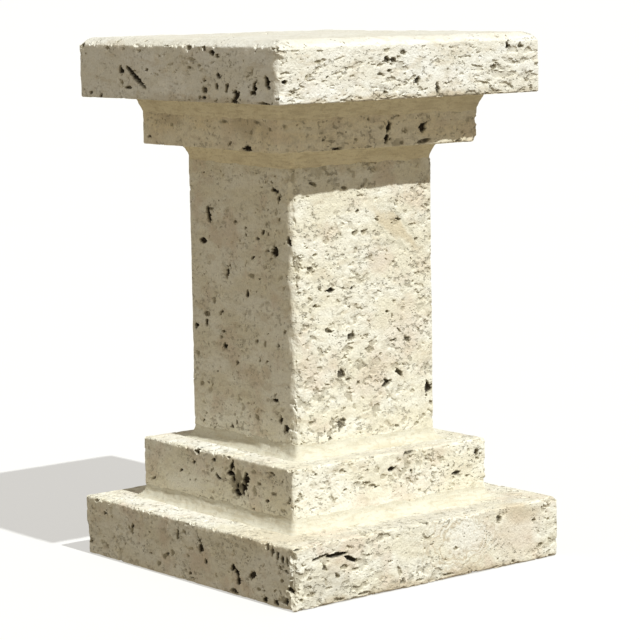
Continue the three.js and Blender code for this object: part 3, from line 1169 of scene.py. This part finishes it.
@dataclass(frozen=True)
class Studio:
    """The camera at the photograph's viewing angle, a soft key, a pale surround and a floor."""

    camera_place: Triple = (-1.8127, -2.2315, 0.6659)
    azimuth: float = -39.17
    pitch: float = 7.69
    roll: float = -0.0167
    lens: float = 140.49
    sun_towards: Triple = (-0.015, 1.0, -1.2)
    sun_power: float = 3.75
    sun_spread: float = 0.7
    sun_colour: Triple = (0.97, 1.0, 1.0)
    glow_towards: Triple = (1.0, 0.2, 0.8)
    glow_spread: float = 100.0
    glow_colour: Triple = (1.0, 0.78, 0.42)
    sky_colour: Triple = (1.0, 0.925, 0.80)
    bounce_colour: Triple = (1.0, 0.89, 0.70)
    sky_power: float = 0.37
    bounce_power: float = 0.27
    west_power: float = 0.28

    def build(self) -> None:
        """Set up the camera, the light and the floor."""
        self._camera()
        self._sun()
        self._sky()
        self._floor()
        bpy.context.scene.view_settings.view_transform = "Standard"

    def _camera(self) -> None:
        """Place the camera."""
        turn = math.radians(self.azimuth)
        tilt = math.radians(self.pitch)
        level = Vector((-math.sin(turn), math.cos(turn), 0.0))
        right = Vector((math.cos(turn), math.sin(turn), 0.0))
        forward = level * math.cos(tilt) - Vector((0.0, 0.0, math.sin(tilt)))
        upward = level * math.sin(tilt) + Vector((0.0, 0.0, math.cos(tilt)))
        across = right * math.cos(self.roll) + upward * math.sin(self.roll)
        above = upward * math.cos(self.roll) - right * math.sin(self.roll)
        frame_axes = Matrix((across, above, -forward)).transposed()
        bpy.ops.object.camera_add(location=self.camera_place, rotation=frame_axes.to_euler())
        camera = bpy.context.object
        camera.data.sensor_width = 36.0
        camera.data.lens = self.lens
        camera.data.clip_end = 400.0
        bpy.context.scene.camera = camera

    def _sun(self) -> None:
        """Add the key light, and the warm glow that the ground throws on the shaded side."""
        self._lamp(self.sun_towards, self.sun_power, self.sun_spread, self.sun_colour)
        self._lamp(self.glow_towards, self.west_power, self.glow_spread, self.glow_colour)

    @staticmethod
    def _lamp(towards: Triple, power: float, spread: float, colour: Triple) -> None:
        """Add a distant light.

        Args:
            towards: The way its light travels.
            power: Its strength.
            spread: Its width, in degrees.
            colour: Its colour.
        """
        facing = Vector(towards).to_track_quat("-Z", "Y").to_euler()
        bpy.ops.object.light_add(type="SUN", location=(0.0, -3.0, 3.0), rotation=facing)
        light = bpy.context.object.data
        light.energy = power
        light.angle = math.radians(spread)
        light.color = colour

    def _sky(self) -> None:
        """Light the scene from all round, with its own strength from above and from below."""
        world = bpy.data.worlds.new("surround")
        world.use_nodes = True
        tree = world.node_tree
        surround = tree.nodes["Background"]
        place = tree.nodes.new("ShaderNodeTexCoord")
        split = tree.nodes.new("ShaderNodeSeparateXYZ")
        ramp = tree.nodes.new("ShaderNodeValToRGB")
        shift = tree.nodes.new("ShaderNodeMapRange")
        shift.inputs["From Min"].default_value = -1.0
        ramp.color_ramp.elements[0].position = 0.42
        ramp.color_ramp.elements[1].position = 0.58
        sources = ((self.bounce_power, self.bounce_colour), (self.sky_power, self.sky_colour))
        for element, (power, colour) in zip(ramp.color_ramp.elements, sources):
            element.color = (*(power * part for part in colour), 1.0)
        tree.links.new(place.outputs["Generated"], split.inputs[0])
        tree.links.new(split.outputs["Z"], shift.inputs["Value"])
        tree.links.new(shift.outputs[0], ramp.inputs[0])
        tree.links.new(ramp.outputs[0], surround.inputs["Color"])
        bpy.context.scene.world = world

    def _floor(self) -> None:
        """Lay a wide pale floor."""
        bpy.ops.object.select_all(action="DESELECT")
        bpy.ops.mesh.primitive_plane_add(size=800.0)
        floor = bpy.context.object
        floor.name = "floor"
        graph = Graph("pale_floor")
        tone = graph.noise(graph.place, 0.4, 2.0)
        colour = graph.mix(tone, (0.43, 0.43, 0.42), (0.42, 0.42, 0.41))
        graph.finish(colour, 0.95, tone, 0.1 * MM, 0.1)
        graph.shader.inputs["Emission Color"].default_value = (1.0, 0.995, 0.98, 1.0)
        graph.shader.inputs["Emission Strength"].default_value = 0.5
        floor.data.materials.append(graph.material)
        floor.visible_diffuse = False


class Pedestal:
    """The whole pedestal: five blocks, the mortar in their corners and their finishes."""

    def __init__(self) -> None:
        """Lay out the blocks and fillets."""
        base = self._base_slab()
        step = self._lower_step()
        shaft = self._shaft()
        cap = self._cap_step()
        top = self._top_slab()
        self.blocks = (base, step, shaft, cap, top)
        mortar = Mortar("cream_mortar", MORTAR, MORTAR_DARK)
        # painted light: the mortar under the overhangs is a brighter, warmer copy that stands in for the
        # warm bounce in their shade
        warm_lit_mortar = Mortar("warm_lit_golden_mortar", HEAD_MORTAR_WARM_LIT, HEAD_MORTAR_DARK_WARM_LIT)
        self.fillets = (
            MortarFillet("lower_step_foot_fillet", step, base, 1.0, 71, mortar),
            MortarFillet("shaft_foot_fillet", shaft, step, 1.0, 72, mortar, uneven=1.3),
            MortarFillet("shaft_head_fillet", shaft, cap, -1.0, 73, warm_lit_mortar, 8.0 * MM, 19.0 * MM, sag=0.6),
            MortarFillet("cap_step_head_fillet", cap, top, -1.0, 74, warm_lit_mortar, 8.0 * MM, 19.0 * MM, sag=0.15),
        )

    def _base_slab(self) -> StoneBlock:
        """The base slab, the most worn of the blocks."""
        west, south = Face.WEST, Face.SOUTH
        marks = (
            *marks_on(
                west,
                (0.20, 0.32, 6, 4, 2.2), (0.07, 0.73, 4, 8, 3.5, 5), (-0.16, 0.63, 6, 4, 3),
                (-0.20, 0.41, 6, 4, 3.5), (-0.05, 0.16, 5, 3, 3.5), (-0.63, 0.41, 11, 5, 3.5, -20),
                (-0.46, 0.06, 13, 6, 3), (-0.74, 0.06, 8, 6, 4.5, 20), (-0.84, 0.08, 6, 4, 4.5, 20),
                (-0.92, 0.14, 6, 5, 4.5), (-0.97, 0.32, 11, 5, 5, 35), (-0.45, 0.44, 8, 4, 5, -55),
                (-0.49, 0.38, 5, 8, 5, -25), (-0.50, 0.26, 5, 9, 5), (-0.77, 0.91, 4, 7, 2.5),
                (-0.81, 0.87, 4, 8, 3), (-0.86, 0.83, 4, 8, 3.5, 10), (-0.90, 0.79, 4, 9, 3.5),
                (-0.94, 0.78, 4, 8, 3), (-0.88, 0.65, 5, 4, 2.5), (-0.93, 0.62, 5, 3, 2.5),
                (-0.89, 0.45, 6, 4, 2.5, -20), (0.55, 0.63, 5, 4, 1.8), (0.00, 0.80, 6, 3, 2, 20),
                (0.53, 0.60, 5, 5, 2), (0.26, 0.16, 6, 4, 1.8), (-0.03, 0.43, 5, 3, 2),
                (0.12, 0.41, 5, 5, 2, -30), (-0.68, 0.21, 6, 3, 2),
            ),
            *marks_on(
                south,
                (-0.81, 0.78, 18, 3, 4, 8), (-0.69, 0.77, 23, 4, 5), (-0.59, 0.66, 18, 4, 5, -24),
                (-0.78, 0.60, 5, 6, 3.5), (-0.64, 0.56, 8, 5, 3), (-0.56, 0.48, 8, 3, 2.5),
                (-0.68, 0.05, 10, 4, 3), (-0.36, 1.10, 5, 4, 2.5), (-0.31, 0.49, 5, 2, 2.5),
                (-0.24, 0.30, 4, 10, 2.5, 20), (-0.22, 0.12, 5, 4, 3.5), (0.52, 0.82, 6, 6, 3.5),
                (0.63, 1.16, 8, 4, 3), (0.71, 1.05, 5, 3, 2.5), (0.85, 0.24, 9, 5, 3, 20),
                (-0.97, 0.97, 6, 2, 4), (-0.89, 0.47, 6, 3, 2.5), (-0.93, 0.70, 5, 3, 2),
                (-0.75, 0.27, 8, 3, 2), (-0.50, 0.07, 13, 3, 3), (-0.09, 0.09, 10, 3, 2.5),
                (0.13, 0.08, 13, 3, 3), (-0.88, 0.22, 10, 4, 2.5), (0.30, 1.18, 5, 3, 2),
            ),
            *marks_on(
                west,
                (0.52, 0.63, 5, 10, 3.5), (-0.15, 0.63, 8, 7, 4),
            ),
        )
        chips = (
            Chip(west, south, -0.36, 20, 14, 6),
            Chip(west, south, 0.68, 16, 14, 6),
            Chip(west, Face.NORTH, -0.56, 46, 12, 5),
            Chip(west, Face.FOOT, -0.93, 16, 12, 4),
            Chip(west, Face.FOOT, -0.72, 12, 9, 3),
            Chip(south, Face.FOOT, -0.95, 12, 10, 3),
            Chip(south, Face.FOOT, -0.80, 18, 9, 3),
            Chip(west, south, -0.72, 16, 12, 5),
            Chip(west, south, 0.15, 12, 9, 3),
        )
        calms = (
            Calm(south, 0.25, 0.52, 96, 66),
            Calm(south, -0.24, 0.52, 70, 46, 12),
            Calm(south, 0.66, 0.5, 60, 44),
        )
        stains = (
            Stain((44.0, -197.0, 8.0), -8.0, (84.0, 18.0, 58.0), TAN, 0.75, 9.0),
            Stain((56.0, -197.0, 12.0), -8.0, (40.0, 18.0, 24.0), WHITE, 0.6),
            Stain((20.0, -174.0, 35.0), 0.0, (230.0, 30.0, 8.0), DUST_AND_SHADE, 0.75),
            Stain((-172.0, 70.0, 35.0), 0.0, (30.0, 170.0, 8.0), WHITE, 0.8),
            Stain((-172.0, -140.0, 35.0), 0.0, (60.0, 90.0, 12.0), BAND_TAN, 0.5),
            Stain((140.0, -197.0, 28.0), 10.0, (44.0, 22.0, 18.0), TAN, 0.8),
            Stain((-150.0, -197.0, -12.0), 10.0, (46.0, 18.0, 24.0), DUST_AND_SHADE, 0.6),
            Stain((0.0, -197.0, -35.0), 0.0, (300.0, 18.0, 11.0), TAN, 0.75),
            Stain((130.0, -197.0, 0.0), 0.0, (50.0, 25.0, 40.0), PINKISH, 0.5),
        )
        finish = Travertine("base_travertine", 0.0, (8.0, -6.0, 0.0), 0.6, 0.7, stains)
        return StoneBlock(
            "base_slab", 0.394, 0.0, 11, finish, marks, chips,
            bed=(0.1, 0.12, 1.0), foot_round=4.0 * MM, front_round=5.5 * MM, cell=3.9 * MM,
            open_from=0.148, triangles=190000, calms=calms,
        )

    def _lower_step(self) -> StoneBlock:
        """The lower step."""
        west, south = Face.WEST, Face.SOUTH
        marks = (
            *marks_on(
                west,
                (-0.294, 0.575, 24, 20, 2.2), (-0.200, 0.712, 13, 4, 6), (-0.219, 0.627, 4, 6, 6),
                (-0.212, 0.848, 5, 8, 5, 25), (-0.383, 0.667, 8, 10, 7), (-0.354, 0.519, 8, 9, 7, 15),
                (-0.267, 0.529, 5, 5, 6), (-0.261, 0.443, 7, 4, 7), (-0.296, 0.394, 7, 3, 7),
                (-0.505, 0.523, 7, 10, 1.6, -20), (0.024, 0.881, 5, 3, 4.5),
                (-0.023, 0.614, 7, 3, 4.5, 35), (0.062, 0.693, 5, 4, 2.5), (-0.727, 0.853, 6, 4, 2.8),
                (-0.567, 0.651, 6, 3, 2.5), (-0.743, 0.541, 6, 3, 2.5), (-0.666, 0.409, 6, 3, 3),
                (-0.933, 0.451, 5, 2, 2.5), (-0.851, 0.304, 8, 4, 2), (-0.484, 0.819, 5, 3, 1.6),
            ),
            *marks_on(
                south,
                (-0.01, 0.74, 10, 4, 5), (0.07, 0.85, 6, 3, 2, 20), (0.18, 0.88, 8, 3, 2.5, 20),
                (0.67, 0.49, 10, 4, 4), (-0.27, 0.58, 10, 4, 3), (-0.21, 0.53, 8, 3, 3),
                (-0.33, 0.67, 6, 3, 2.2), (-0.93, 0.58, 5, 4, 3), (-0.72, 0.61, 5, 3, 2),
                (-0.58, 0.85, 6, 4, 1.6), (0.90, 0.67, 5, 3, 2.2), (0.79, 0.41, 5, 3, 2.5),
                (-0.77, 0.49, 6, 2, 2), (-0.50, 0.82, 5, 4, 1.8), (0.19, 0.99, 16, 6, 4, 20),
            ),
        )
        chips = (Chip(Face.EAST, south, -0.5, 10, 10, 5),)
        stains = (
            Stain((10.0, -122.0, 35.0), 0.0, (160.0, 24.0, 8.0), DUST_AND_SHADE, 0.7),
            Stain((-122.0, 30.0, 35.0), 0.0, (22.0, 140.0, 8.0), WHITE, 0.8),
        )
        calms = (
            Calm(west, 0.5, 0.4, 110, 60),
            Calm(south, -0.2, 0.3, 120, 26),
        )
        finish = Travertine("step_travertine", 3.0, (0.0, 4.0, 0.0), 0.4, 0.5, stains)
        return StoneBlock(
            "lower_step", 0.285, -0.5, 23, finish, marks, chips,
            bed=(-0.05, 0.04, 1.0), open_from=0.106, triangles=170000, calms=calms,
        )

    def _shaft(self) -> StoneBlock:
        """The shaft."""
        west, south = Face.WEST, Face.SOUTH
        marks = (
            *marks_on(
                west,
                (0.61, 0.77, 6, 16, 4, -14), (0.73, 0.68, 11, 6, 4), (-0.66, 0.87, 9, 4, 4, 10),
                (0.25, 0.79, 5, 9, 1.6, 20), (-0.68, 0.80, 5, 8, 1.8, 20), (-0.91, 0.71, 6, 6, 4),
                (-0.66, 0.67, 8, 8, 5, -20), (-0.52, 0.67, 6, 2, 3), (0.27, 0.58, 5, 12, 3, 10),
                (-0.20, 0.58, 8, 5, 2), (-0.12, 0.52, 5, 9, 4), (0.70, 0.43, 8, 6, 2.5),
                (0.36, 0.38, 5, 3, 3), (0.35, 0.33, 6, 5, 4, 20), (0.11, 0.28, 5, 5, 3),
                (-0.60, 0.18, 6, 4, 4.5), (-0.71, 0.12, 6, 5, 4), (-0.80, 0.09, 6, 6, 4.5),
                (-0.26, 0.11, 8, 6, 2), (0.14, 0.08, 3, 5, 3), (0.82, 0.19, 6, 5, 2),
                (-0.99, 0.79, 6, 2, 3), (0.41, 0.36, 5, 3, 2), (-0.43, 0.36, 5, 4, 2),
                (0.89, 0.29, 6, 6, 1.8), (0.54, 0.48, 5, 5, 2), (-0.80, 0.41, 5, 4, 2),
            ),
            *marks_on(
                south,
                (-0.49, 0.54, 8, 4, 5), (-0.18, 0.54, 4, 4, 5), (-0.30, 0.54, 4, 3, 2.2),
                (-0.52, 0.52, 4, 3, 2.5), (-0.70, 0.66, 6, 3, 2.5), (-0.53, 0.70, 6, 7, 2, -30),
                (-0.30, 0.75, 5, 4, 2), (-0.12, 0.72, 8, 4, 3), (-0.00, 0.72, 8, 5, 3),
                (-0.04, 0.84, 8, 2, 2.5), (0.76, 0.68, 5, 3, 3, 20), (0.46, 0.74, 6, 5, 2),
                (0.71, 0.73, 9, 3, 2), (-0.40, 0.64, 10, 6, 1.5), (0.03, 0.57, 8, 8, 1.8, -30),
                (-0.15, 0.57, 13, 3, 1.8), (-0.39, 0.50, 5, 4, 2), (-0.67, 0.49, 6, 2, 2.2),
                (-0.21, 0.38, 10, 6, 4, 10), (-0.47, 0.42, 8, 6, 1.8), (-0.28, 0.42, 10, 7, 1.4),
                (0.06, 0.33, 10, 6, 2.5), (-0.11, 0.29, 6, 4, 2.5), (-0.36, 0.26, 8, 7, 4, 30),
                (-0.55, 0.23, 5, 2, 2.5), (-0.25, 0.24, 5, 3, 3), (0.30, 0.21, 6, 7, 4.5, -30),
                (0.91, 0.18, 6, 5, 5), (0.97, 0.12, 4, 5, 2.5), (0.69, 0.17, 5, 4, 2),
                (-0.37, 0.09, 9, 8, 3.5, 30), (0.07, 0.14, 4, 6, 1.8), (-0.79, 0.11, 5, 4, 2.5),
                (-0.55, 0.17, 4, 5, 1.8), (-0.69, 0.49, 6, 2, 2.2), (0.41, 0.75, 5, 3, 1.6),
                (-0.71, 0.89, 9, 3, 3.5, -20), (-0.27, 0.87, 8, 3, 3, -10), (-0.93, 0.54, 5, 3, 2.5),
                (-0.81, 0.60, 6, 4, 1.8), (0.92, 0.17, 8, 7, 5),
            ),
        )
        stains = (
            Stain((48.0, -100.0, 78.0), 36.0, (62.0, 30.0, 11.0), BAND_TAN, 0.8),
            Stain((55.0, -100.0, 87.0), 36.0, (66.0, 30.0, 3.2), VEIN, 0.45),
            Stain((41.0, -100.0, 68.0), 36.0, (66.0, 30.0, 3.2), VEIN, 0.45),
            Stain((10.0, -100.0, -90.0), -30.0, (50.0, 25.0, 26.0), PINKISH, 0.5),
            Stain((60.0, -100.0, -40.0), 10.0, (40.0, 25.0, 40.0), PINKISH, 0.4),
        )
        calms = (
            Calm(south, 0.48, 0.73, 110, 20, -36),
            Calm(south, -0.6, 0.83, 60, 40),
            Calm(south, 0.5, 0.88, 70, 30),
        )
        finish = Travertine("shaft_travertine", 5.0, (20.0, -18.0, 0.0), 0.5, 0.6, stains)
        return StoneBlock(
            "shaft", 0.200, -1.5, 37, finish, marks,
            bed=(0.35, 0.3, 1.0), front_round=10.5 * MM, foot_round=1.5 * MM, top_round=1.5 * MM,
            cell=3.9 * MM, open_from=0.2, triangles=195000, calms=calms, plain_calm=0.45,
        )

    def _cap_step(self) -> StoneBlock:
        """The cap step."""
        west, south = Face.WEST, Face.SOUTH
        marks = (
            *marks_on(
                south,
                (0.08, 0.41, 5, 8, 5, 5), (0.06, 0.22, 6, 5, 5), (0.42, 0.38, 6, 7, 5),
                (0.25, 0.31, 4, 4, 2.5), (-0.25, 0.20, 4, 3, 2.5), (-0.44, 0.02, 9, 4, 5),
                (0.45, 0.09, 15, 4, 3.5, 10), (0.21, 0.08, 5, 3, 2.5), (-0.94, 0.54, 5, 3, 2.2),
                (-0.14, 0.04, 6, 3, 2),
            ),
            *marks_on(
                west,
                (-0.23, 0.58, 9, 3, 2), (-0.55, 0.07, 13, 5, 5), (-0.69, 0.60, 8, 3, 2),
                (-0.61, 0.39, 5, 4, 1.6), (0.55, 0.45, 6, 3, 1.6), (0.20, 0.42, 5, 3, 1.6),
                (-0.87, 0.48, 6, 4, 2),
            ),
        )
        chips = (
            Chip(Face.EAST, south, -0.08, 9, 9, 4),
            Chip(Face.EAST, south, -0.96, 12, 14, 7),
        )
        stains = (
            Stain((-137.0, -75.0, 2.0), 0.0, (14.0, 34.0, 22.0), TAN, 0.7),
            Stain((-137.0, -112.0, -8.0), 0.0, (14.0, 16.0, 16.0), TAN, 0.5),
            Stain((-137.0, 82.0, 4.0), 0.0, (14.0, 34.0, 14.0), TAN, 0.6),
        )
        # painted light, in part: the shaded cap gets a warmer ground that stands in for the warm bounce on
        # it
        finish = Travertine("cap_travertine", 7.0, (3.0, 2.0, 0.0), 0.35, 0.4, stains, GOLDEN_WARM_LIT, GOLDEN_PALE_WARM_LIT)
        return StoneBlock(
            "cap_step", 0.276, -3.2, 41, finish, marks, chips,
            bed=(0.03, 0.05, 1.0), open_from=0.2, flake_depth=0.8 * MM, flake_share=0.7,
            triangles=140000,
        )

    def _top_slab(self) -> StoneBlock:
        """The top slab, with its upper arris worn round."""
        west, south = Face.WEST, Face.SOUTH
        marks = (
            *marks_on(
                west,
                (0.96, 1.00, 5, 5, 3), (0.69, 0.95, 5, 3, 2), (-0.14, 0.99, 5, 6, 3),
                (-0.30, 0.96, 6, 6, 3), (-0.38, 0.89, 8, 5, 4, 20), (-0.42, 0.84, 6, 3, 3, 30),
                (0.55, 0.54, 6, 5, 5), (-0.15, 0.62, 6, 3, 2.5), (-0.25, 0.66, 6, 2, 2, 10),
                (-0.43, 0.50, 6, 4, 4), (0.48, 0.22, 13, 3, 3), (0.54, 0.31, 5, 4, 2.5),
                (-0.30, 0.23, 9, 5, 3), (-0.41, 0.31, 5, 6, 3), (-0.51, 0.28, 5, 8, 3, 15),
                (-0.60, 0.15, 8, 8, 4, 20), (-0.77, 0.30, 6, 9, 6), (-0.76, 0.21, 9, 4, 4),
                (-0.89, 0.40, 6, 12, 6, -12), (-0.29, 0.09, 8, 3, 3), (-0.84, 0.03, 13, 3, 3),
                (-0.75, 0.56, 5, 6, 2), (-0.98, 1.00, 6, 8, 3, 20), (0.35, 0.90, 5, 2, 2),
                (0.08, 1.00, 8, 2, 2),
            ),
            *marks_on(
                south,
                (-0.41, 0.65, 10, 5, 1.8), (-0.21, 0.72, 6, 5, 4), (-0.16, 0.69, 6, 5, 4),
                (-0.12, 0.75, 6, 4, 2), (-0.08, 0.83, 6, 4, 3.5), (-0.26, 0.62, 8, 3, 2.2),
                (-0.19, 0.52, 6, 3, 3.5), (-0.26, 0.47, 6, 3, 3.5), (0.02, 0.32, 5, 6, 4.5, -20),
                (-0.22, 0.14, 5, 4, 4), (-0.20, 0.34, 6, 4, 2), (-0.71, 0.72, 9, 3, 2.5),
                (-0.80, 0.48, 4, 4, 2.5), (-0.89, 0.21, 5, 4, 4.5), (-0.95, 0.41, 6, 4, 4.5),
                (0.18, 0.14, 4, 13, 4, 5), (-0.21, 0.87, 9, 5, 2), (-0.70, 0.91, 8, 2, 2),
                (-0.90, 0.06, 5, 2, 2), (-0.50, 0.59, 13, 3, 1.6, 5), (-0.77, 0.41, 10, 2, 1.8, 8),
                (-0.09, 0.28, 5, 3, 1.6), (0.74, 0.87, 5, 6, 4.5), (0.85, 0.86, 5, 4, 3.5),
                (0.63, 0.51, 6, 5, 3.5, 30), (0.90, 0.24, 4, 5, 3.5), (0.93, 0.07, 5, 4, 3),
                (0.37, 0.39, 6, 3, 1.8), (-0.72, 0.61, 8, 4, 1.8, 10), (-0.56, 0.77, 12, 2, 1.8, 14),
                (-0.58, 0.51, 12, 2, 1.6, 10), (-0.30, 0.23, 8, 2, 1.8),
            ),
            *marks_on(
                west,
                (0.4, 0.42, 34, 5, 5, 32), (-0.86, 0.0, 16, 6, 4), (-0.58, 0.02, 14, 6, 4),
            ),
        )
        stains = (
            Stain((0.0, -187.0, -35.0), 0.0, (280.0, 16.0, 9.0), TAN, 0.75),
            Stain((-187.0, -60.0, -35.0), 0.0, (16.0, 130.0, 11.0), TAN, 0.6),
        )
        calms = (Calm(Face.TOP, 0.0, 0.5, 620, 620), Calm(south, -0.62, 0.9, 90, 18))
        finish = Travertine(
            "top_travertine", 9.0, streaks=0.35, patches=0.2, stains=stains,
            ground=WHITE_CREAM, pale=WHITE, dust_and_top_shade=0.5,
        )
        return StoneBlock(
            "top_slab", 0.375, -0.4, 59, finish, marks,
            bed=(0.02, 0.0, 1.0), top_round=1.2 * MM, front_round=9.0 * MM,
            flake_depth=2.7 * MM, flake_share=0.44, brow_rise=9.0 * MM, triangles=198000,
            bed_stretch=1.1, flake_size=11.0 * MM, plain_calm=0.55, calms=calms,
        )

    def build(self) -> None:
        """Make every piece, tie it to the frame and report it."""
        makers = [(block, "travertine") for block in self.blocks]
        makers += [(fillet, "mortar") for fillet in self.fillets]
        for maker, slot_name in makers:
            piece = maker.build()
            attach(piece, "root")
            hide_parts(maker.node)
            log.info("%s: %d faces", piece.name, len(piece.data.polygons))


def main() -> None:
    """Build the pedestal and the studio."""
    logging.basicConfig(level=logging.INFO, format="%(name)s: %(message)s")
    Pedestal().build()
    Studio().build()


if __name__ == "__main__":
    main()
